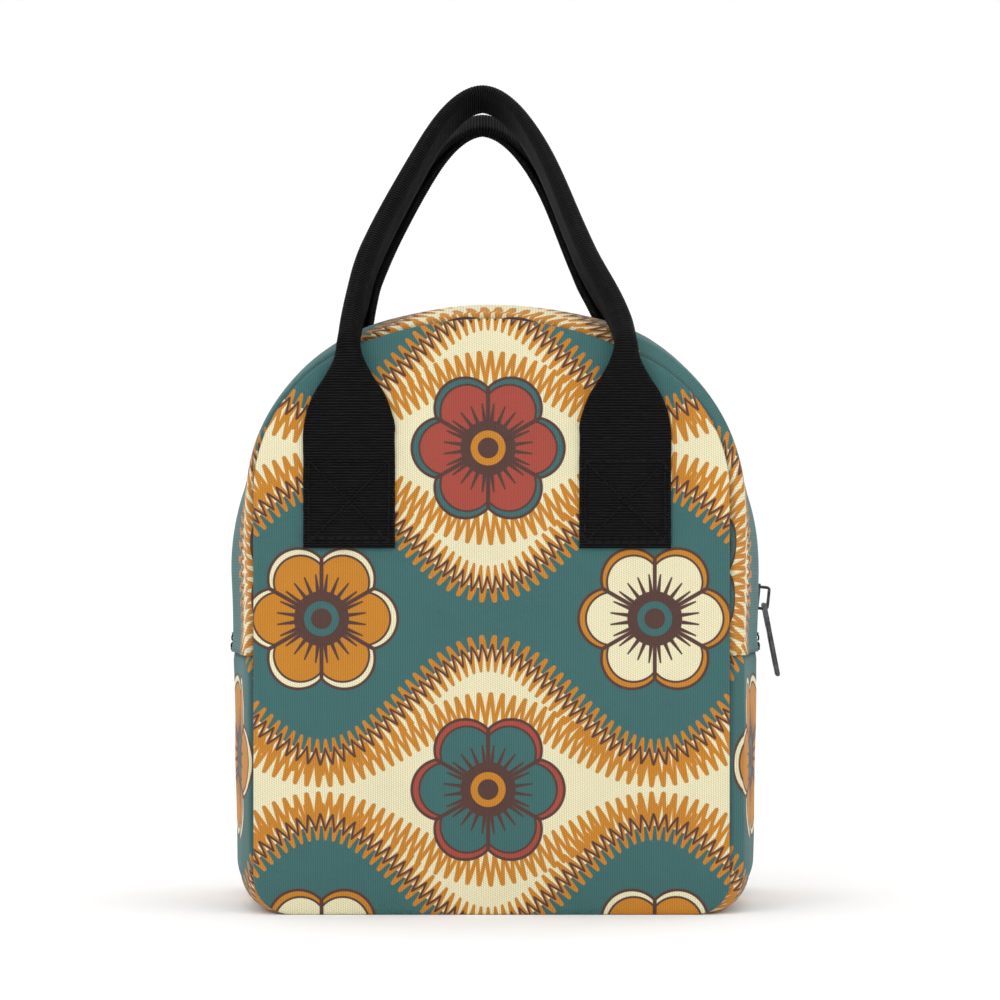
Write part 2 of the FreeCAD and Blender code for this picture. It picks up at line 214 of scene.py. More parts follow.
def cloth_coordinates(tree):
    """The cloth attribute as a vector socket and three Nums: across, along and nearness to a seam."""
    node = tree.nodes.new("ShaderNodeAttribute")
    node.attribute_name = "cloth"
    split = tree.nodes.new("ShaderNodeSeparateXYZ")
    tree.links.new(node.outputs["Vector"], split.inputs[0])
    return node.outputs["Vector"], *[Num(tree, split.outputs[i]) for i in range(3)]


def object_coordinates(tree):
    return tree.nodes.new("ShaderNodeTexCoord").outputs["Object"]


def set_bump(tree, shader, height, distance, strength):
    node = tree.nodes.new("ShaderNodeBump")
    set_inputs(node, Strength=strength, Distance=distance * MM)
    tree.links.new(height.socket, node.inputs["Height"])
    tree.links.new(node.outputs[0], shader.inputs["Normal"])


def plain_weave(across, along, pitch):
    """Height of a plain weave, 0 to 1: yarns of this pitch passing over and under each other."""
    over = (across * (pi / pitch)).sin()
    under = ((along + across * 0.5) * (pi / pitch)).sin()
    checker = ((over * under) * 2.5 + 0.5).clamp()
    return over.abs() * checker + under.abs() * (1.0 - checker)


# ---- the canvas print: wavy bands with zigzag fringes, and flowers in a staggered grid ----
PERIOD_ACROSS, PERIOD_ALONG = 137.6, 141.0
TURN = 2 * pi / PERIOD_ACROSS
PETALS = 6
SPOKES = 4 * PETALS
# a curve's mean distance from its band's middle, how far it waves, and its number of teeth
Curve = namedtuple("Curve", "half wave teeth")
BAND_EDGE = Curve(36.5, 21.5, 40)
INNER_EDGE = Curve(20.5, 12.5, 36)


def along_curve(u, from_middle, curve):
    """Signed distance to a wavy curve, positive outside it, and the distance run along the curve."""
    slope_size = curve.wave * TURN
    slope = (u * TURN).sin() * slope_size
    length = (slope.power(2.0) + 1.0).sqrt()
    distance = (from_middle - (u * TURN).cos() * curve.wave - curve.half) / length
    foot = u - distance * slope / length
    mean = 1 + slope_size ** 2 / 4 - 3 * slope_size ** 4 / 64
    ripple = (slope_size ** 2 / 4 - slope_size ** 4 / 16) / (2 * TURN)
    pitch = mean * PERIOD_ACROSS / curve.teeth
    return distance, foot * mean - (foot * (2 * TURN)).sin() * ripple, pitch


def zigzag(distance, along, pitch, middle, reach, half_width, shift=0.0):
    """Signed distance to a zigzag stroke with round turns, reach each side of a line beside the curve."""
    step_x, step_y = pitch / 2, 2 * reach
    x = (along + shift).wrap(-pitch / 2, pitch / 2).abs()
    y = distance - middle + reach
    share = ((x * step_x + y * step_y) / (step_x ** 2 + step_y ** 2)).clamp()
    off_x, off_y = x - share * step_x, y - share * step_y
    return (off_x.power(2.0) + off_y.power(2.0)).sqrt() - half_width


def band_layers(tree, u, v):
    """The wavy bands and their fringes; returns a colour socket."""
    from_middle = v.wrap(-PERIOD_ALONG / 2, PERIOD_ALONG / 2).abs()
    edge, along, pitch = along_curve(u, from_middle, BAND_EDGE)
    colour = colour_mix(tree, inside(edge), TEAL, CREAM)
    fringe = zigzag(edge, along, pitch, -1.8, 6.9, 0.82)
    inner = zigzag(*along_curve(u, from_middle, INNER_EDGE), 0.0, 6.4, 0.82, shift=1.1)
    colour = colour_mix(tree, inside(fringe.least(inner)), colour, MUSTARD)
    ink = zigzag(edge, along, pitch, -1.5, 3.3, 0.45, shift=0.4)
    return colour_mix(tree, inside(ink), colour, BROWN)


def flower_layers(tree, x, z, petal, rim, ring, ground):
    """One flower of round petals about the origin of x and z, over the ground colour."""
    radius = (x.power(2.0) + z.power(2.0)).sqrt()
    angle = z.math("ARCTAN2", x)
    off_petal = angle.wrap(-pi / PETALS, pi / PETALS)
    forward, sideways = radius * off_petal.cos(), radius * off_petal.sin()

    def petal_edge(centre, size):
        return ((forward - centre).power(2.0) + sideways.power(2.0)).sqrt() - size

    outer = petal_edge(18.9, 12.6).least(radius - 20.0)
    inner = petal_edge(17.4, 11.0).least(radius - 19.0)
    colour = colour_mix(tree, inside(outer), ground, rim)
    colour = colour_mix(tree, inside(inner), colour, petal)
    ink = (outer.abs() - 0.6).least((inner.abs() - 0.45).most(outer))
    off_seam = angle.wrap(0.0, 2 * pi / PETALS) - pi / PETALS
    ink = ink.least(((radius * off_seam.sin()).abs() - 0.85).most(outer))
    step = 2 * pi / SPOKES
    off_spoke = (radius * (angle.wrap(0.0, step) - step / 2)).abs()
    ink = ink.least((off_spoke - 1.0 + (radius - 9.0) * 0.07).most(radius - 18.5))
    ink = ink.least(radius - 11.4)
    colour = colour_mix(tree, inside(ink), colour, BROWN)
    return colour_mix(tree, inside((radius - 7.2).most(4.3 - radius)), colour, ring)


def print_colour(tree, u, v):
    """The whole print; u and v are millimetres on the cloth, with a flower at the origin."""
    ground = band_layers(tree, u, v)
    half_u, half_v = PERIOD_ACROSS / 2, PERIOD_ALONG / 2
    near = [(u.wrap(-half_u, half_u), v.wrap(-half_v, half_v)),
            ((u + half_u).wrap(-half_u, half_u), (v + half_v).wrap(-half_v, half_v))]
    size = [x.power(2.0) + z.power(2.0) for x, z in near]
    second = (size[0] - size[1]).above(0.0)
    x, z = [a * (1.0 - second) + b * second for a, b in zip(*near)]
    row_pair = 1.0 - ((v + half_v) / (2 * PERIOD_ALONG)).fraction().above(0.5)
    column = (u / (2 * PERIOD_ACROSS)).fraction().above(0.5)
    row_side = (v / (2 * PERIOD_ALONG)).fraction().above(0.5)
    side_pair = (column - row_side).abs()
    first_petal = colour_mix(tree, row_pair, TEAL, RED)
    first_rim = colour_mix(tree, row_pair, RED, TEAL)
    second_petal = colour_mix(tree, side_pair, MUSTARD, CREAM)
    second_rim = colour_mix(tree, side_pair, CREAM, MUSTARD)
    petal = colour_mix(tree, second, first_petal, second_petal)
    rim = colour_mix(tree, second, first_rim, second_rim)
    ring = colour_mix(tree, second, MUSTARD, TEAL)
    return flower_layers(tree, x, z, petal, rim, ring, ground)


WEAVE_PITCH_MM = 0.95


def canvas_material():
    """Printed canvas: the print, yarns that catch the light with painted highlights on their crowns, slight
    fading, and painted shade along the seams.
    """
    material, tree, shader = new_material("printed_canvas", roughness=0.78)
    vector, u, v, near_seam = cloth_coordinates(tree)
    weave = plain_weave(u, v, WEAVE_PITCH_MM)
    slub = noise_num(tree, vector, 1.6, detail=2.0)
    fade = noise_num(tree, vector, 0.03, detail=4.0)
    colour = print_colour(tree, u, v)
    # the weave term is a painted highlight on the yarns' crowns; slub and fade are the cloth's own tone
    light = weave * 0.52 + slub * 0.20 + fade * 0.14 + 0.42
    # painted shade: darker near the seams, where the canvas turns into the groove
    light = light * (1.0 - near_seam * 0.6)
    shade = tree.nodes.new("ShaderNodeCombineColor")
    for slot in shade.inputs:
        tree.links.new(light.socket, slot)
    colour = colour_mix(tree, 1.0, colour, shade.outputs[0], how="MULTIPLY")
    feed(tree, shader, colour, fade * 0.25 - weave * 0.10 + 0.72)
    set_inputs(shader, Sheen_Weight=0.12, Sheen_Roughness=0.5, Specular_IOR_Level=0.3)
    set_bump(tree, shader, weave + slub * 0.5, 0.16, 0.85)
    return material


def webbing_material(name, rib_mm, black, sheen):
    """Black woven webbing or tape: ribs across it, fine warp lines along it, and painted highlights on the
    ribs' crowns.
    """
    material, tree, shader = new_material(name)
    vector, u, v, near_edge = cloth_coordinates(tree)
    wobble = noise_num(tree, vector, 0.35, detail=2.0)
    rib = ((v + wobble * 0.25) * (pi / rib_mm)).sin().abs()
    warp = (u * (pi / (rib_mm * 0.42))).sin().abs()
    fuzz = noise_num(tree, vector, 2.2, detail=3.0)
    crown = rib.power(1.6) * (0.55 + warp * 0.45)
    # painted highlight on the ribs' crowns, with random fuzz, and a little lighter along the edges
    highlight_and_fuzz = (crown * 1.15 + fuzz * 0.7 + near_edge * 0.2 - 0.85).clamp()
    colour = colour_mix(tree, highlight_and_fuzz, black, sheen)
    feed(tree, shader, colour, 0.72 - crown * 0.22 + fuzz * 0.12)
    set_inputs(shader, Specular_IOR_Level=0.06, Sheen_Weight=0.01)
    set_bump(tree, shader, crown + fuzz * 0.25, rib_mm * 0.30, 0.9)
    return material


def lining_material():
    """Wipe-clean silvery lining: soft creases, painted lighter on their crests, and a fine embossed grid."""
    material, tree, shader = new_material("foil_lining", roughness=0.38)
    vector, u, v, near_seam = cloth_coordinates(tree)
    crease = noise_num(tree, vector, 0.09, detail=6.0, roughness=0.62)
    grid = ((u * (pi / 2.4)).sin().abs() * (v * (pi / 2.4)).sin().abs()).power(0.4)
    # painted highlight and shade: lighter where the creases rise, darker near the seams
    share = (crease * 1.2 - 0.2 - near_seam * 0.4).clamp()
    colour = colour_mix(tree, share, (150, 153, 158), (206, 208, 211))
    feed(tree, shader, colour, crease * 0.3 + 0.26)
    set_inputs(shader, Metallic=0.55)
    set_bump(tree, shader, crease * 2.2 + grid * 0.12, 1.1, 0.8)
    return material


def thread_material():
    """Twisted black sewing thread."""
    material, tree, shader = new_material("sewing_thread", roughness=0.55)
    _, u, v, _ = cloth_coordinates(tree)
    twist = ((v + u * 0.6) * (pi / 0.45)).sin().abs()
    # lighter on the crowns of the twist: painted highlight
    feed(tree, shader, colour_mix(tree, twist, (5, 5, 6), (26, 26, 28)))
    set_inputs(shader, Specular_IOR_Level=0.12)
    set_bump(tree, shader, twist, 0.12, 0.8)
    return material


def coil_material():
    """Black nylon: smooth, with a faint mottle."""
    material, tree, shader = new_material("nylon_coil", roughness=0.42)
    mottle = noise_num(tree, object_coordinates(tree), 900.0)
    colour = colour_mix(tree, mottle, (15, 15, 16), (44, 44, 46))
    feed(tree, shader, colour, mottle * 0.3 + 0.28)
    return material


def gunmetal_material():
    """Dark plated metal: fine scratches, and painted highlights: brighter metal on the sharp edges."""
    material, tree, shader = new_material("gunmetal", roughness=0.3)
    place = object_coordinates(tree)
    geometry = tree.nodes.new("ShaderNodeNewGeometry")
    edge_highlight = ((Num(tree, geometry.outputs["Pointiness"]) - 0.5) * 9.0).clamp()
    mottle = noise_num(tree, place, 420.0, detail=4.0)
    scratch = noise_num(tree, place, 2600.0, detail=2.0)
    # painted highlight on the sharp edges, with random lighter patches from the mottle
    share = (edge_highlight * 0.22 + mottle * 0.35 - 0.10).clamp()
    colour = colour_mix(tree, share, (26, 27, 29), (172, 174, 178))
    feed(tree, shader, colour, mottle * 0.22 + 0.16)
    set_inputs(shader, Metallic=1.0)
    set_bump(tree, shader, scratch, 0.02, 0.6)
    return material


# ---- outlines and grids ----
# the pieces of an arch's right half, from the middle of its base to its top, and how many steps each has
PIECE_COUNTS = {"base": 26, "corner": 12, "lower": 28, "upper": 18, "shoulder": 34, "top": 24}
PIECES = tuple(PIECE_COUNTS)


def arch_split(arch):
    """Height and angle where the side ends and where the shoulder arc meets the top arc."""
    reach, extra = arch.half_width - arch.shoulder_radius, arch.top_radius - arch.shoulder_radius
    if extra < 0.001:
        return arch.top - arch.top_radius, arch_split(ROLL)[1]
    angle = acos(reach / extra)
    return arch.top - arch.top_radius + extra * sin(angle), angle


def arch_piece(arch, inset, piece, share):
    """A point (x, z) on the right half of an arch inset all round; share runs from 0 to 1, bottom to top."""
    side_z, split = arch_split(arch)
    foot, half, base = arch.foot - inset, arch.half_width - inset, inset
    corner = max(0.1, arch.base_radius - inset)
    corner_z = base + corner
    if piece == "base":
        return (foot - corner) * share, base
    if piece == "corner":
        angle = pi / 2 * (share - 1)
        return foot - corner + corner * cos(angle), corner_z + corner * sin(angle)
    if piece in ("lower", "upper"):
        low, high = (corner_z, SEAM_Z) if piece == "lower" else (SEAM_Z, side_z)
        z = low + (high - low) * share
        return foot + (half - foot) * (z - corner_z) / (side_z - corner_z), z
    if piece == "shoulder":
        centre, radius, start, end = arch.half_width - arch.shoulder_radius, arch.shoulder_radius, 0.0, split
    else:
        centre, radius, start, end = 0.0, arch.top_radius, split, pi / 2
        side_z = arch.top - arch.top_radius
    angle = start + (end - start) * share
    return centre + (radius - inset) * cos(angle), side_z + (radius - inset) * sin(angle)


def outline_marks(pieces):
    """(sign of x, piece, share) along both halves: up the right side and down the left where the pieces reach
    the top, and down the left side and up the right where they don't."""
    right = []
    for number, piece in enumerate(pieces):
        count = PIECE_COUNTS[piece]
        right += [(1, piece, k / count) for k in range(0 if number == 0 else 1, count + 1)]
    left = [(-1, piece, share) for _, piece, share in reversed(right)]
    return right + left[1:] if pieces[-1] == "top" else left + right[1:]


def whole_outline(arch, inset, pieces):
    """Points (x, z) along both halves of an arch; inset is one number or one for each point."""
    marks = outline_marks(pieces)
    insets = inset if isinstance(inset, list) else [inset] * len(marks)
    points = []
    for (sign, piece, share), depth in zip(marks, insets):
        x, z = arch_piece(arch, depth, piece, share)
        points.append((sign * x, z))
    return points


def front_tuck(pieces):
    """How far the front panel's seam is drawn in at each point of an outline: only on the right side."""
    tucks = []
    for sign, piece, share in outline_marks(pieces):
        held = {"base": 0, "corner": share, "top": 1 - share}.get(piece, 1)
        tucks.append(FRONT_TUCK * held if sign > 0 else 0.0)
    return tucks


def even_outline(arch, inset, pieces):
    """The same outline with its points spread evenly, so that a print runs straight from row to row."""
    points = np.array(whole_outline(arch, inset, pieces))
    run = run_length(points)
    even = np.linspace(0.0, run[-1], len(run))
    return list(zip(np.interp(even, run, points[:, 0]), np.interp(even, run, points[:, 1])))


def between(first, second, share):
    """The arch that lies this share of the way from the first to the second."""
    return Arch(*[a + (b - a) * share for a, b in zip(first, second)])


def gusset_arch(place):
    """The gusset's arch: place 0 at the panel's seam, 1 at the roll beside it, 2 beside the zip."""
    return between(EDGE, ROLL, place) if place <= 1 else between(ROLL, MIDDLE, place - 1)


def run_length(points):
    """Distance along a run of points to each of them."""
    steps = [dist(a, b) for a, b in zip(points, points[1:])]
    return np.concatenate([[0.0], np.cumsum(steps)])


def add_object(name, data):
    """A new object in the scene."""
    made = bpy.data.objects.new(name, data)
    bpy.context.scene.collection.objects.link(made)
    return made


def mesh_piece(name, points, faces, cloth, material, weld=0.0):
    """A smooth mesh object from points in millimetres, with its cloth coordinates. Points nearer than the
    weld are joined, and every face is turned outwards."""
    mesh = bpy.data.meshes.new(name)
    mesh.from_pydata([tuple(p * MM for p in point) for point in points], [], faces)
    layer = mesh.attributes.new("cloth", "FLOAT_VECTOR", "POINT")
    layer.data.foreach_set("vector", np.asarray(cloth, np.float32).ravel())
    mesh.materials.append(material)
    mesh.polygons.foreach_set("use_smooth", [True] * len(mesh.polygons))
    mesh.update()
    bm = bmesh.new()
    bm.from_mesh(mesh)
    if weld:
        bmesh.ops.remove_doubles(bm, verts=bm.verts, dist=weld * MM)
    bmesh.ops.recalc_face_normals(bm, faces=bm.faces)
    bm.to_mesh(mesh)
    bm.free()
    return add_object(name, mesh)


def grid_faces(rows, columns, start=0, flip=False, closed_rows=False, closed_columns=False):
    """Quads over a grid of points stored row by row."""
    faces = []
    for r in range(rows if closed_rows else rows - 1):
        for c in range(columns if closed_columns else columns - 1):
            r2, c2 = (r + 1) % rows, (c + 1) % columns
            quad = [start + r * columns + c, start + r * columns + c2,
                    start + r2 * columns + c2, start + r2 * columns + c]
            faces.append(quad[::-1] if flip else quad)
    return faces


def ruffle(x, y, z, scale_mm, seed=0.0):
    """Smooth noise, about -1 to 1, at a place in millimetres."""
    return noise.noise(Vector((x / scale_mm + seed, y / scale_mm, z / scale_mm)))


def fold_blend(piece):
    """Bakes a piece's placement into its points; it is not bent between the body that stays and the half that
    opens.
    """
    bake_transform(piece)


SIDES = {"front": -1, "back": 1}

# ---- panels ----
# (distance from the middle plane, inset from the outline), from the back of the padding to its flat front
PANEL_PROFILE = ((59.9, 1.6), (62.8, 1.6), (63.15, 0.5), (63.7, 0.0), (64.3, 0.35), (64.75, 1.3), (65.0, 3.0))
# how far each ring of points lies from the edge, 0, to the panel's spine, 1
PANEL_RINGS = (0.03, 0.06, 0.1, 0.15, 0.21, 0.28, 0.36, 0.44, 0.52, 0.6, 0.68, 0.76, 0.84, 0.92, 1.0)
SPINE_LOW, SPINE_HIGH = 62.0, 168.0
CROWN = 1.3                        # how far the padding bulges in the middle
# painted shade: the canvas colour is darkened where it turns in behind the groove
GROOVE_Y = 64.3                    # the canvas is darker where it turns in behind this


def smooth(value):
    """0 below 0, 1 above 1, and a smooth rise between."""
    t = min(1.0, max(0.0, value))
    return t * t * (3 - 2 * t)


def pressed(x, z):
    """How much a handle's sewn end flattens the padding here, from 0 to 1."""
    beside = abs(abs(x - HANDLE_SHIFT) - PATCH_SPACING) - WEBBING / 2
    below = PATCH_BOTTOM - z
    return 1 - smooth(max(beside, below) / 7.0)


def toward_spine(x, z, inward):
    """A point on the edge moved this share of the way to the panel's upright spine."""
    spine = min(max(z, SPINE_LOW), SPINE_HIGH)
    return x * (1 - inward), z + (spine - z) * inward


def panel_rings(side):
    """Rings of points from the middle of the back, round the edge, to the middle of the front."""
    outlines = {}
    tucks = [t if side < 0 else 0.0 for t in front_tuck(PIECES)]

    def ring(y, inset, inward, puff):
        if inset not in outlines:
            outlines[inset] = whole_outline(PANEL, [inset + tuck for tuck in tucks], PIECES)[:-1]
        row = []
        for x, z in outlines[inset]:
            x2, z2 = toward_spine(x, z, inward)
            swell = CROWN * (1 - (1 - inward) ** 2.2) + 0.35 * ruffle(x2, 0, z2, 34.0, 3.1 * side)
            swell = puff * (swell * (1 - pressed(x2, z2)) - 0.15 * pressed(x2, z2))
            row.append((x2, side * (y + swell), z2))
        return row

    rings = [ring(*PANEL_PROFILE[0], inward, 0.0) for inward in (1.0, 0.6, 0.25)]
    rings += [ring(y, inset, 0.0, 0.0) for y, inset in PANEL_PROFILE]
    return rings + [ring(*PANEL_PROFILE[-1], inward, 1.0) for inward in PANEL_RINGS]


FLOWER_X, FLOWER_Z = -2.9, 192.9   # the middle flower on the front panel
BACK_PRINT_SHIFT = (46.0, -33.0)   # the back is cut from another part of the cloth


def make_panel(half, material):
    side = SIDES[half]
    rings = panel_rings(side)
    shift = (0.0, 0.0) if half == "front" else BACK_PRINT_SHIFT
    points = [point for ring in rings for point in ring]
    # the third value darkens the canvas behind the groove: painted shade
    cloth = [(-side * x - FLOWER_X + shift[0], z - FLOWER_Z + shift[1], smooth((GROOVE_Y - abs(y)) / 0.8))
             for x, y, z in points]
    faces = grid_faces(len(rings), len(rings[0]), closed_columns=True)
    piece = mesh_piece(f"{half}_panel_pad", points, faces, cloth, material, weld=0.02)
    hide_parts(*[n for n in nodes_like(f"{half}_panel_", f"{half}_fold_")
                         if n.endswith(("skin", "foam"))])
    fold_blend(piece)


# ---- gussets ----
INSIDE = 4.9                       # depth of the padding's inner face
# (distance from the middle plane, place on the gusset, outer inset, inner inset)
SEAM_PROFILE = ((62.75, 0.0, 4.2, 4.4), (62.6, 0.0, 2.6, 4.0), (61.9, 0.0, 1.0, 3.2), (60.6, 0.0, 0.1, 3.1),
                (58.8, 0.08, -0.35, INSIDE), (56.0, 0.3, -0.75, INSIDE), (52.0, 0.65, -0.95, INSIDE),
                (48.0, 1.0, -0.8, INSIDE), (42.0, 1.14, -0.6, INSIDE), (35.0, 1.32, -0.4, INSIDE),
                (28.0, 1.55, -0.2, INSIDE), (21.0, 1.8, 0.0, INSIDE), (16.0, 2.0, 0.0, INSIDE))
ZIP_EDGE_PROFILE = ((12.5, 2.0, 0.0, INSIDE), (10.4, 2.0, 0.05, INSIDE), (9.3, 2.0, 0.3, 4.4),
                    (8.5, 2.0, 0.8, 3.2), (8.0, 2.0, 1.5, 2.3))
JOIN_PROFILE = ((8.0, 2.0, 0.0, INSIDE), (0.0, 2.0, 0.0, INSIDE))
ZIP_CLOSES_Z = (114.0, 120.0)      # the slot for the zip narrows to nothing between these heights
FRONT_TUCK = 3.0                   # the front panel's seam is drawn in by this much on the right side
LAP, TUCK = 0.9, 0.5               # the zip's gusset is lapped over the lower one, which is tucked under it
LAP_FADE, TUCK_FADE = 9.0, 2.5     # and each of these fades out over this distance from the seam
PRINT_STRETCH = 0.79               # millimetres of print to a millimetre along the zip's gusset
ZIP_PRINT_V = 94.0                 # where the print's rows fall on the zip's gusset, and on the lower one
LOWER_FLOWER_Y, LOWER_FLOWER_Z = 33.0, 64.0


def slab(name, outer, inner, cloth, material):
    """A closed pad between an outer and an inner grid of points."""
    rows, columns = len(outer), len(outer[0])
    points = [p for row in outer for p in row] + [p for row in inner for p in row]
    faces = grid_faces(rows, columns) + grid_faces(rows, columns, start=rows * columns, flip=True)
    offset = rows * columns
    border = [(0, c) for c in range(columns)] + [(r, columns - 1) for r in range(1, rows)]
    border += [(rows - 1, c) for c in range(columns - 2, -1, -1)] + [(r, 0) for r in range(rows - 2, 0, -1)]
    ring = [r * columns + c for r, c in border]
    faces += [[a, b, b + offset, a + offset] for a, b in zip(ring, ring[1:] + ring[:1])]
    piece = mesh_piece(name, points, faces, cloth + cloth, material)
    for face in list(piece.data.polygons)[-len(ring):]:
        face.use_smooth = False
    return piece


def place_at(y):
    """The place on the gusset (see gusset_arch) at this distance from the middle plane."""
    distances, places = zip(*[row[:2] for row in SEAM_PROFILE[::-1]])
    return float(np.interp(y, distances, places))


NEAR_ZIP_Y = SEAM_PROFILE[-1][0]


def toward_middle(y, z):
    """Below the zip the gusset has no slot, so what is near its edge moves to the middle plane."""
    shut = 1 - smooth((z - ZIP_CLOSES_Z[0]) / (ZIP_CLOSES_Z[1] - ZIP_CLOSES_Z[0]))
    return max(0.0, NEAR_ZIP_Y - (NEAR_ZIP_Y - y) * (1 + shut)) if y < NEAR_ZIP_Y else y


def gusset_grid(side, profile, pieces, proud_at_ends, fade):
    """Outer and inner grids over a profile, and the distance run along the middle of the gusset. The outside
    stands proud by this much at the two ends, fading out over this distance."""
    spread = even_outline if pieces[-1] == "top" else whole_outline
    run = run_length(spread(MIDDLE, 0.0, pieces))
    ends = [min(r, run[-1] - r) for r in run]
    outer, inner = [], []
    for y, place, inset, inner_inset in profile:
        arch = gusset_arch(place)
        beside_seam = smooth((y - 59.0) / 1.8) if side < 0 else 0.0
        tucks = [tuck * beside_seam for tuck in front_tuck(pieces)]
        insets = [inset + tuck - proud_at_ends * max(0.0, 1 - end / fade) for tuck, end in zip(tucks, ends)]
        inner_insets = [inner_inset + tuck for tuck in tucks]
        outline = spread(arch, insets, pieces)
        if pieces[-1] == "top":
            across = [side * toward_middle(y, z) for x, z in outline]
        else:
            across = [side * y] * len(outline)
        outer.append([(x, w, z) for (x, z), w in zip(outline, across)])
        inner.append([(x, w, z) for (x, z), w in zip(spread(arch, inner_insets, pieces), across)])
    return outer, inner, run


def rumple(grid, side, amount, scale_mm, floor=None):
    """Moves a grid's points a little in and out, towards the bag's middle, like soft padding."""
    moved = []
    for number, row in enumerate(grid):
        hold = min(1.0, number / 4.0) * min(1.0, (len(grid) - 1 - number) / 2.0)
        line = []
        for x, y, z in row:
            out = Vector((x, 0, z - ZIP_CENTRE_Z)).normalized()
            push = amount * hold * ruffle(x, y, z, scale_mm, 7.7 * side)
            z2 = z + out.z * push
            line.append((x + out.x * push, y, max(floor, z2) if floor is not None else z2))
        moved.append(line)
    return moved


def distance_across(grid, side):
    """How far each point is from the middle plane, measured over the cloth, with the side's sign."""
    rows = [[abs(point[1]) for point in grid[-1]]]
    for row, after in zip(grid[-2::-1], grid[:0:-1]):
        rows.append([so_far + dist(a, b) for so_far, a, b in zip(rows[-1], row, after)])
    return side * np.array(rows[::-1])


def make_zip_gusset(half, material):
    side = SIDES[half]
    profile = SEAM_PROFILE + ZIP_EDGE_PROFILE
    outer, inner, run = gusset_grid(side, profile, PIECES[3:], LAP, LAP_FADE)
    outer = rumple(outer, side, 0.7, 30.0)
    across, middle = distance_across(outer, side), run[-1] / 2
    # the third value darkens the rows beside the panel's seam: painted shade in the groove
    cloth = [(PRINT_STRETCH * (middle - run[c]), ZIP_PRINT_V + across[r, c], max(0.0, 1 - r / 3.0))
             for r in range(len(outer)) for c in range(len(run))]
    piece = slab(f"{half}_zip_gusset_pad", outer, inner, cloth, material)
    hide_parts(f"{half}_gusset_skin", f"{half}_gusset_foam", "zip_gusset_ends_skin")
    fold_blend(piece)


def make_lower_gusset(half, material):
    side = SIDES[half]
    profile = SEAM_PROFILE + JOIN_PROFILE
    outer, inner, run = gusset_grid(side, profile, PIECES[:3], -TUCK, TUCK_FADE)
    outer = rumple(outer, side, 0.6, 30.0, floor=0.0)
    flower = SEAM_Z - LOWER_FLOWER_Z
    stretch = 2 * PERIOD_ALONG / (run[-1] - 2 * flower)
    across = distance_across(outer, side)
    # the third value darkens the rows beside the panel's seam: painted shade in the groove
    cloth = [(across[r, c] + LOWER_FLOWER_Y + PERIOD_ACROSS / 2,
              PERIOD_ALONG / 2 - stretch * (run[c] - flower), max(0.0, 1 - r / 3.0))
             for r in range(len(outer)) for c in range(len(run))]
    piece = slab(f"{half}_lower_gusset_pad", outer, inner, cloth, material)
    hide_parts("lower_gusset_skin", "lower_gusset_foam")
    fold_blend(piece)


# ---- lining and bindings ----
LINING_DEPTH = 5.8                 # from the outside of the cloth to the inside of the lining
LINING_THICKNESS = 0.55
LINING_Y = 59.5                    # the lining's face against a panel
# (distance from the middle plane, inset from the gusset's outline)
LINING_PROFILE = ((60.0, 9.5), (59.6, 7.2), (58.6, 6.0),
                  *[(y, LINING_DEPTH) for y in (57.0, 54.0, 50.0, 45.0, 39.0, 32.0, 25.0, 18.0, 13.0, 10.5)],
                  (9.2, 5.0), (8.4, 4.2))
LINING_RINGS = (1.0, 0.85, 0.7, 0.55, 0.42, 0.3, 0.2, 0.12, 0.06, 0.02)


def lining_face(side, outline, depth):
    """One face of the lining as a grid: over the panel from its spine, then round the corner to the zip."""
    grid = []
    for inward in LINING_RINGS:
        row = []
        for x, z in outline:
            x2, z2 = toward_spine(x, z, inward)
            crease = 0.5 * ruffle(x2, 40.0, z2, 21.0, 5.0 * side) * min(1.0, inward / 0.12)
            row.append((x2, side * (LINING_Y - abs(crease) - depth), z2))
        grid.append(row)
    for y, inset in LINING_PROFILE:
        on_gusset = inset <= LINING_DEPTH
        level = inset - 0.5 + (depth if on_gusset else 0.0)
        drop = 0.0 if on_gusset else depth
        grid.append([(x, side * (toward_middle(y, z) - drop), z)
                     for x, z in whole_outline(gusset_arch(place_at(y)), level, PIECES)[:-1]])
    return grid


def make_lining(half, material):
    side = SIDES[half]
    outline = whole_outline(EDGE, LINING_PROFILE[0][1], PIECES)[:-1]
    run = run_length(outline)
    outer, inner = [lining_face(side, outline, depth) for depth in (0.0, LINING_THICKNESS)]
    rows, columns = len(outer), len(outer[0])
    corner_row = len(LINING_RINGS) + 2
    for r in range(corner_row, rows - 2):
        for c in range(columns):
            x, y, z = outer[r][c]
            push = 0.45 * abs(ruffle(x, y, z, 17.0, 9.0 * side))
            out = Vector((x, 0, z - ZIP_CENTRE_Z)).normalized() * push
            for grid in (outer, inner):
                x, y, z = grid[r][c]
                grid[r][c] = (x - out.x, y, z - out.z)
    points = [p for grid in (outer, inner) for row in grid for p in row]
    offset = rows * columns
    faces = grid_faces(rows, columns, closed_columns=True)
    faces += grid_faces(rows, columns, start=offset, flip=True, closed_columns=True)
    last = (rows - 1) * columns
    faces += [[last + c, last + (c + 1) % columns, last + (c + 1) % columns + offset, last + c + offset]
              for c in range(columns)]
    cloth = [(p[0], p[2], 0.0) if r < corner_row else (run[c], p[1] + 80.0, 0.0)
             for grid in (outer, inner) for r, row in enumerate(grid) for c, p in enumerate(row)]
    piece = mesh_piece(f"{half}_lining_shell", points, faces, cloth, material, weld=0.01)
    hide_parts(f"{half}_panel_upper_lining", f"{half}_panel_lower_lining", f"{half}_gusset_lining",
                f"{half}_fold_lining", "lower_gusset_lining")
    fold_blend(piece)


# (distance from the middle plane, inset from the gusset's outline) round the tape that covers the raw edges
BINDING_SECTION = ((59.0, 6.1), (58.9, 6.9), (58.3, 7.25), (56.8, 7.35), (55.2, 7.4), (53.6, 7.3),
                   (52.6, 7.0), (52.3, 6.4), (52.6, 5.95), (54.0, 5.85), (56.0, 5.85), (58.0, 5.85))
BINDING_EDGES = (0, 1, 6, 7)       # the rows of that section that are drawn a little lighter
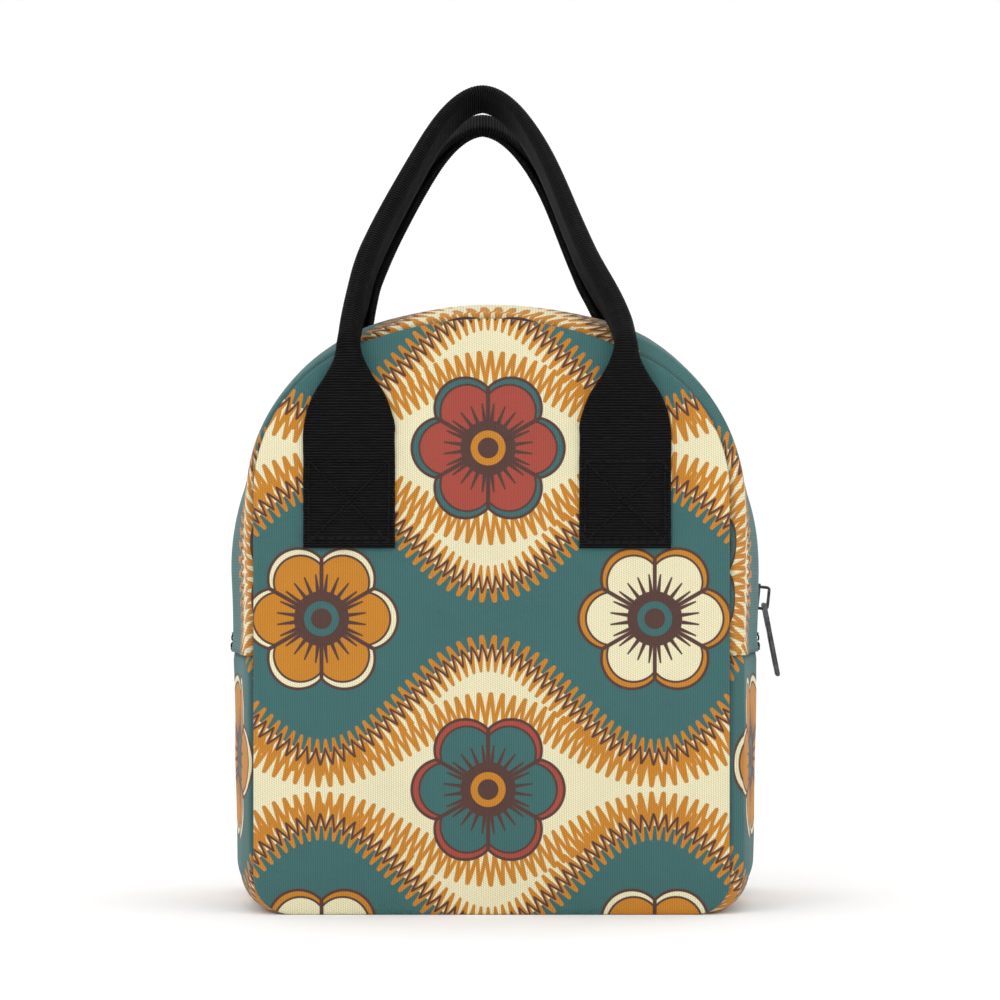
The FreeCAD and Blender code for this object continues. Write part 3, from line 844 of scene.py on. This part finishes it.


def make_binding(half, material):
    side = SIDES[half]
    rows = []
    for y, inset in BINDING_SECTION:
        outline = whole_outline(gusset_arch(place_at(y)), inset, PIECES)[:-1]
        rows.append([(x, side * y, z) for x, z in outline])
    run = run_length([(x, z) for x, _, z in rows[0]])
    points = [point for row in rows for point in row]
    cloth = [(abs(point[1]), run[c], 1.0 if r in BINDING_EDGES else 0.0)
             for r, row in enumerate(rows) for c, point in enumerate(row)]
    faces = grid_faces(len(rows), len(rows[0]), closed_rows=True, closed_columns=True)
    piece = mesh_piece(f"{half}_seam_binding", points, faces, cloth, material)
    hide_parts(f"{half}_binding_upper", f"{half}_binding_lower", f"{half}_fold_binding")
    fold_blend(piece)


# ---- zip ----
ZIP_END_DEG = -11.7
TAPE_RADIUS = 110.36
TAPE_PROFILE = ((1.3, 0.0), (1.7, 0.32), (2.6, 0.4), (4.0, 0.36), (5.5, 0.42), (7.0, 0.36), (8.4, 0.4),
                (9.4, 0.4), (9.4, -0.4), (8.4, -0.4), (7.0, -0.4), (5.5, -0.4), (4.0, -0.4), (2.6, -0.4),
                (1.7, -0.32))
COIL_PITCH, COIL_WIRE = 1.3, 0.31  # the coil's spacing, and its wire's radius
COIL_RADIUS, COIL_RISE = 110.4, 0.72
COIL_Y, COIL_REACH = 1.0, 0.95     # the coil's distance from the middle plane, and its reach each way
COIL_INSET_DEG = 0.8


def on_zip(radius, y, deg):
    """A point beside the zip's arch; angles run from +X upwards."""
    angle = radians(deg)
    return radius * cos(angle), y, ZIP_CENTRE_Z + radius * sin(angle)


def make_zip_tape(half, material):
    side = SIDES[half]
    count = 220
    span = 180 - 2 * ZIP_END_DEG
    points, cloth = [], []
    for y, height in TAPE_PROFILE:
        for k in range(count + 1):
            deg = ZIP_END_DEG + span * k / count
            points.append(on_zip(TAPE_RADIUS + height, side * y, deg))
            cloth.append((y, radians(deg) * TAPE_RADIUS, 0.0))
    rows, columns = len(TAPE_PROFILE), count + 1
    faces = grid_faces(rows, columns, closed_rows=True)
    faces += [[r * columns + c for r in range(rows)] for c in (0, columns - 1)]
    piece = mesh_piece(f"{half}_zip_tape_strip", points, faces, cloth, material)
    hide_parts(f"{half}_zip_tape", f"{half}_fold_tape", "zip_tape_ends")
    fold_blend(piece)


def tube(path, radius, sides):
    """Points and faces of a round tube along a path of Vectors."""
    points, last = [], len(path) - 1
    tangents = [(path[min(i + 1, last)] - path[max(i - 1, 0)]).normalized() for i in range(last + 1)]
    guide = tangents[0].orthogonal().normalized()
    for point, tangent in zip(path, tangents):
        guide = (guide - tangent * guide.dot(tangent)).normalized()
        other = tangent.cross(guide)
        for k in range(sides):
            angle = 2 * pi * k / sides
            across = guide * (radius * cos(angle))
            points.append(tuple(point + across + other * (radius * sin(angle))))
    ends = [[i * sides + k for k in range(sides)] for i in (0, last)]
    return points, grid_faces(len(path), sides, closed_columns=True) + ends


def make_coil(half, material):
    side = SIDES[half]
    turns = int(radians(180 - 2 * ZIP_END_DEG - 2 * COIL_INSET_DEG) * TAPE_RADIUS / COIL_PITCH)
    steps = 8
    path = []
    for k in range(turns * steps + 1):
        turn = 2 * pi * (k / steps + (0.5 if half == "back" else 0.0))
        deg = ZIP_END_DEG + COIL_INSET_DEG + degrees(k / steps * COIL_PITCH / TAPE_RADIUS)
        y = side * (COIL_Y - COIL_REACH * cos(turn))
        path.append(Vector(on_zip(COIL_RADIUS + COIL_RISE * sin(turn), y, deg)))
    points, faces = tube(path, COIL_WIRE, 5)
    piece = mesh_piece(f"{half}_zip_coil", points, faces, [(p[0], p[2], 0.0) for p in points], material)
    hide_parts(f"{half}_zip_teeth", "zip_teeth_ends")
    fold_blend(piece)


# ---- sewing ----
def stitch_run(corners, length, gap):
    """Stitches along straight lines between corners: pairs of end points."""
    stitches = []
    for a, b in zip(corners, corners[1:]):
        count = max(1, round((b - a).length / (length + gap)))
        step = (b - a) / count
        inset = step.normalized() * (gap / 2)
        stitches += [(a + step * k + inset, a + step * (k + 1) - inset) for k in range(count)]
    return stitches


# how high a stitch stands, at shares of its length
STITCH_BOW = ((0.0, -0.7), (0.08, -0.05), (0.25, 0.75), (0.5, 1.0), (0.75, 0.75), (0.92, -0.05), (1.0, -0.7))


def thread_mesh(name, stitches, out_directions, radius, rise, material):
    """Stitches as short bowed threads that dive into the cloth at both ends."""
    points, faces, cloth = [], [], []
    for (a, b), out in zip(stitches, out_directions):
        path = [a.lerp(b, share) + out * (lift * rise) for share, lift in STITCH_BOW]
        new_points, new_faces = tube(path, radius, 6)
        faces += [[i + len(points) for i in face] for face in new_faces]
        length = (b - a).length
        for i in range(len(new_points)):
            cloth.append((i % 6 / 6 * 2 * pi * radius, i // 6 / 6 * length, 0.0))
        points += new_points
    return mesh_piece(name, points, faces, cloth, material)


WEB_FACE = PANEL_Y + WEB_THICKNESS
STITCH, STITCH_GAP = 2.9, 0.7
BOX_INSET = 2.5                    # how far the sewn box lies inside the webbing's edges


def make_handle_stitching(half, material):
    """A box with a cross in it on each sewn end, doubled along the bottom."""
    side = SIDES[half]
    stitches = []
    for leg in (-1, 1):
        x = HANDLE_SHIFT + leg * PATCH_SPACING
        reach, z0, z1 = WEBBING / 2 - BOX_INSET, PATCH_BOTTOM + BOX_INSET, PATCH_TOP - BOX_INSET
        corner = [Vector((x + a * reach, side * (WEB_FACE + 0.22), z)) for a, z in
                  ((-1, z0), (1, z0), (1, z1), (-1, z1))]
        low = [point + Vector((0, 0, 1.7)) for point in corner[:2]]
        for line in ([*corner, corner[0]], corner[0::2], corner[1::2], low):
            stitches += stitch_run(line, STITCH, STITCH_GAP)
    out = Vector((0, side, 0))
    piece = thread_mesh(f"{half}_handle_thread", stitches, [out] * len(stitches), 0.36, 0.3, material)
    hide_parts(f"{half}_handle_stitching")
    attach(piece, f"{half}_flap")


END_BOX_Z, END_BOX_HALF, END_STITCH = (107.9, 114.6), 12.5, 2.6


def gusset_surface(y, z, proud):
    """The outside of the gusset beside the zip's ends, on the right-hand side."""
    side_z = arch_split(MIDDLE)[0]
    arch = gusset_arch(place_at(y))
    share = (z - SEAM_Z) / (side_z - SEAM_Z)
    return arch_piece(arch, -proud, "upper", share)[0]


def make_end_stitching(material):
    """A sewn box across the seam below each end of the zip, doubled along the bottom."""
    stitches, directions = [], []
    z0, z1 = END_BOX_Z
    for sign in (-1, 1):
        def at(y, z):
            lap = LAP * (1 - min(1.0, max(0.0, z - SEAM_Z) / LAP_FADE))
            return Vector((sign * gusset_surface(abs(y), z, lap + 0.05), y, z))

        ring = [at(a * END_BOX_HALF, z) for a, z in ((-1, z0), (1, z0), (1, z1), (-1, z1), (-1, z0))]
        low = [at(a * END_BOX_HALF, z0 + 1.6) for a in (-1, 1)]
        new = stitch_run(ring, END_STITCH, STITCH_GAP) + stitch_run(low, END_STITCH, STITCH_GAP)
        stitches += new
        directions += [Vector((sign, 0, 0))] * len(new)
    piece = thread_mesh("zip_end_thread", stitches, directions, 0.38, 0.34, material)
    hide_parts("zip_end_stitching")
    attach(piece, "base")


# ---- handles ----
# how far a loop leans over the bag, its height, twice the radius of its tip, and its webbing's folded depth
Loop = namedtuple("Loop", "lean_deg height tip depth")
LOOPS = {"front": Loop(30.0, 126.8, 26.0, 16.5), "back": Loop(33.0, 118.4, 31.0, 14.5)}
LOOP_BULGE = 30.0
LOOP_SWAY, LEG_SWAY = -2.2, -1.8
LOOP_STEPS = 26
LEAN_Z, LEAN_Y = 239.0, 75.5
FOOT_WIDTH, TIP_WIDTH = 9.4, 3.8
FOOT_DEPTH, DEPTH_GROWTH = 6.0, 0.36
RIB = 1.15
RIB_HEIGHT = 0.2
SECTION_SIDE, SECTION_CORNER = 9, 6
SEWN_Y = 66.8
BEND_Y, BEND_Z = 67.2, (186.0, 202.0)  # a span on the webbing, computed but not used: nothing bends the webbing as its handle swings
# the webbing between its sewn end and its loop: (height, width, distance from the middle plane, depth)
NECK = ((190.0, WEBBING, 66.85, 1.8), (200.0, WEBBING, 66.95, 1.8), (208.0, 35.0, 67.5, 2.1),
        (215.5, 29.0, 68.4, 2.9), (222.5, 20.0, 70.2, 4.0), (229.0, 13.0, 72.6, 5.1))


def handle_keys(half, leg):
    """Sections of one leg, sewn end to tip: outer front edge, across, rearwards, width, depth."""
    side = SIDES[half]
    lean_deg, height, tip, folded_depth = LOOPS[half]
    lean = radians(lean_deg)
    keys = []
    sewn = [(z, WEBBING, SEWN_Y, WEB_THICKNESS) for z in (PATCH_BOTTOM + 0.7, 160.0, 170.0, 180.0)]
    for z, width, y, depth in ((PATCH_BOTTOM, WEBBING, 66.5, 1.4), *sewn, *NECK):
        edge = Vector((HANDLE_SHIFT + leg * (PATCH_SPACING + width / 2), side * y, z))
        keys.append((edge, Vector((leg, 0, 0)), Vector((0, -side, 0)), width, depth))
    up = Vector((0, -side * sin(lean), cos(lean)))
    rear = Vector((0, -side * cos(lean), -sin(lean)))
    foot_x = PATCH_SPACING + FOOT_WIDTH / 2
    spread = (foot_x ** 2 / height - tip) / height ** 2
    for step in range(LOOP_STEPS, -1, -1):
        s = height * (step / LOOP_STEPS) ** 2
        share = s / height
        x = sqrt(tip * s + spread * s ** 3) + LOOP_BULGE * share ** 4 * (1 - share)
        above = height - s
        turn = atan2(tip + 3 * spread * s * s, 2 * x) * min(1.0, above / 12.0)
        width = TIP_WIDTH + (FOOT_WIDTH - TIP_WIDTH) * sqrt(s / height)
        depth = min(folded_depth, FOOT_DEPTH + DEPTH_GROWTH * above)
        shift = HANDLE_SHIFT + LOOP_SWAY * min(1.0, (above / 40.0) ** 2)
        shift += LEG_SWAY * sin(pi * min(1.0, above / 100.0)) ** 2
        edge = Vector((shift + leg * x, side * LEAN_Y, LEAN_Z)) + up * above
        across = Vector((leg * cos(turn), 0, 0)) + up * sin(turn)
        keys.append((edge, across, rear, width, depth))
    return keys


def spline(keys, spacing):
    """Sections at an even spacing along the smooth curve through the key sections."""
    flat = np.array([[*e, *a, *r, w, d] for e, a, r, w, d in keys])
    middle = flat[:, 0:3] - flat[:, 3:6] * flat[:, 9:10] / 2
    run = run_length([tuple(m) for m in middle])
    slopes = np.zeros_like(flat)
    steps = np.diff(run)[:, None]
    secants = np.diff(flat, axis=0) / steps
    slopes[1:-1] = (secants[1:] * steps[:-1] + secants[:-1] * steps[1:]) / (steps[1:] + steps[:-1])
    slopes[0], slopes[-1] = secants[0], secants[-1]
    # a value that turns back at a key stays level there, so that nothing overshoots
    turns = secants[1:, 9:] * secants[:-1, 9:] <= 0
    slopes[1:-1, 9:][turns] = 0
    count = int(run[-1] / spacing)
    rows = []
    for k in range(count + 1):
        at = run[-1] * k / count
        i = min(len(run) - 2, int(np.searchsorted(run, at, side="right")) - 1)
        h = run[i + 1] - run[i]
        t = (at - run[i]) / h
        value = ((2 * t ** 3 - 3 * t ** 2 + 1) * flat[i] + (t ** 3 - 2 * t ** 2 + t) * h * slopes[i]
                 + (3 * t ** 2 - 2 * t ** 3) * flat[i + 1] + (t ** 3 - t ** 2) * h * slopes[i + 1])
        rows.append((at, value))
    return rows


def webbing_section(width, depth, lift):
    """A strip with its long edges turned back: (across from its middle, rearwards, place on the strip)."""
    half = width / 2
    turn = min(half, max(0.75, depth * 0.62))
    wall = min(WEB_THICKNESS, half - 0.1, depth - 0.25)
    outer = [(-half, depth - (depth - turn) * k / 4) for k in range(4)]
    outer += [(-half + turn - turn * cos(a), turn - turn * sin(a))
              for a in [pi / 2 * k / SECTION_CORNER for k in range(SECTION_CORNER)]]
    flat = [(-half + turn + (2 * half - 2 * turn) * k / SECTION_SIDE, 0.0) for k in range(SECTION_SIDE + 1)]
    outer += flat + [(-a, b) for a, b in outer[::-1]]
    section = []
    for x, y in outer:
        grow = Vector((x, min(0.0, y - turn))).normalized() if width < 20 else Vector((0, -1))
        place = x + copysign(min(y, 20.0), x) if y > 0 else x
        section.append((x + grow.x * lift, y + grow.y * lift, place))
    front = min(depth - 0.02, wall + 0.15)
    for k in range(11):
        share = 1 - 2 * k / 10
        x = (half - wall) * max(-1.0, min(1.0, share * 2))
        section.append((x, front + (depth - front) * max(0.0, abs(share) * 2 - 1), x * 0.5))
    return section


def make_handle(half, material):
    side = SIDES[half]
    right, left = handle_keys(half, 1), handle_keys(half, -1)
    rows = spline(left + right[-2::-1], RIB / 2)
    points, cloth = [], []
    total = rows[-1][0]
    for number, (at, value) in enumerate(rows):
        edge = Vector(value[0:3])
        across, rear = Vector(value[3:6]).normalized(), Vector(value[6:9]).normalized()
        width, depth = value[9:11]
        end = min(at, total - at)
        lift = RIB_HEIGHT * (0.5 - number % 2) if end > 1.0 else -0.2
        middle = edge - across * (width / 2)
        for x, y, place in webbing_section(width, depth, lift):
            waver = 0.12 * noise.noise(Vector((at / 3.0, x / 2.0, 2.0 * side))) if end < 42 else 0.0
            point = middle + across * (x + (waver if abs(x) > width / 2 - 0.5 else 0.0)) + rear * y
            points.append(tuple(point))
            cloth.append((place, at, max(0.0, 1 - (WEBBING / 2 - abs(place)) / 1.2)))
    columns = len(points) // len(rows)
    faces = grid_faces(len(rows), columns, closed_columns=True)
    faces += [[start + c for c in range(columns)] for start in (0, (len(rows) - 1) * columns)]
    piece = mesh_piece(f"{half}_handle_webbing", points, faces, cloth, material)
    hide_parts(f"{half}_handle", f"{half}_handle_patch_left", f"{half}_handle_patch_right")
    start, end = [(0, side * BEND_Y * MM, z * MM) for z in BEND_Z]
    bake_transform(piece)


def finish_metal(material):
    """The slider, the puller and the stops keep their shape and get their metal."""
    for name in ("zip_slider", "zip_puller", "zip_top_stops", "zip_bottom_stop"):
        for slot in bpy.data.objects[name].material_slots:
            slot.material = material


# ---- lighting, floor and camera ----
CAMERA_X, CAMERA_Z = 2.0, 171.4
CAMERA_DISTANCE = 1700.0
VIEW_WIDTH = 413.0                 # what the picture spans at the front panel
SENSOR = 36.0


def make_camera():
    data = bpy.data.cameras.new("camera")
    data.sensor_width = SENSOR
    data.lens = SENSOR * CAMERA_DISTANCE / VIEW_WIDTH
    data.dof.use_dof = False
    camera = add_object("camera", data)
    camera.location = (CAMERA_X * MM, -(PANEL_Y + CAMERA_DISTANCE) * MM, CAMERA_Z * MM)
    camera.rotation_euler = (pi / 2, 0, 0)
    bpy.context.scene.camera = camera


LIGHT_TARGET = Vector((0, 0, 0.15))


def add_light(name, place, size, power):
    """A square area light that faces the bag."""
    data = bpy.data.lights.new(name, "AREA")
    data.shape = "RECTANGLE"
    data.size = data.size_y = size
    data.energy = power
    light = add_object(name, data)
    light.location = place
    light.rotation_euler = (LIGHT_TARGET - Vector(place)).to_track_quat("-Z", "Y").to_euler()


def make_studio():
    """A pale round floor that curves up all round the bag, and soft lights."""
    flat, bend, height, around = 2.6, 0.9, 3.2, 96
    profile = [(0.02, 0.0), (0.8, 0.0), (flat, 0.0)]
    profile += [(flat + bend * sin(a), bend - bend * cos(a))
                for a in [pi / 2 * k / 12 for k in range(1, 13)]]
    profile.append((flat + bend, height))
    points = [(r * cos(t), r * sin(t), z) for r, z in profile
              for t in [2 * pi * k / around for k in range(around)]]
    mesh = bpy.data.meshes.new("studio_floor")
    faces = grid_faces(len(profile), around, closed_columns=True) + [list(range(around))]
    mesh.from_pydata(points, [], faces)
    mesh.polygons.foreach_set("use_smooth", [True] * len(mesh.polygons))
    floor = add_object("studio_floor", mesh)
    material, _, shader = new_material("pale_floor", roughness=0.9)
    set_inputs(shader, Base_Color=(0.97, 0.97, 0.97, 1), Specular_IOR_Level=0.06)
    mesh.materials.append(material)
    add_light("key_light", (-1.2, -1.9, 1.9), 1.4, 10)
    add_light("fill_light", (1.6, -1.7, 1.2), 1.6, 4)
    add_light("top_light", (0, 0.2, 2.6), 2.4, 9)
    world = bpy.data.worlds.new("studio")
    world.use_nodes = True
    set_inputs(world.node_tree.nodes["Background"], Color=(1, 1, 1, 1), Strength=1.04)
    bpy.context.scene.world = world
    bpy.context.scene.view_settings.view_transform = "Standard"


make_camera()
make_studio()
canvas = canvas_material()
webbing = webbing_material("ribbed_webbing", RIB, (4, 4, 5), (52, 52, 54))
binding = webbing_material("seam_binding", 0.9, BLACK, (58, 58, 60))
zip_cloth = webbing_material("zip_tape_cloth", 0.7, BLACK, (50, 50, 52))
lining = lining_material()
thread = thread_material()
coil = coil_material()
for name in SIDES:
    make_panel(name, canvas)
    make_zip_gusset(name, canvas)
    make_lower_gusset(name, canvas)
    make_lining(name, lining)
    make_binding(name, binding)
    make_zip_tape(name, zip_cloth)
    make_coil(name, coil)
    make_handle(name, webbing)
    make_handle_stitching(name, thread)
make_end_stitching(thread)
finish_metal(gunmetal_material())
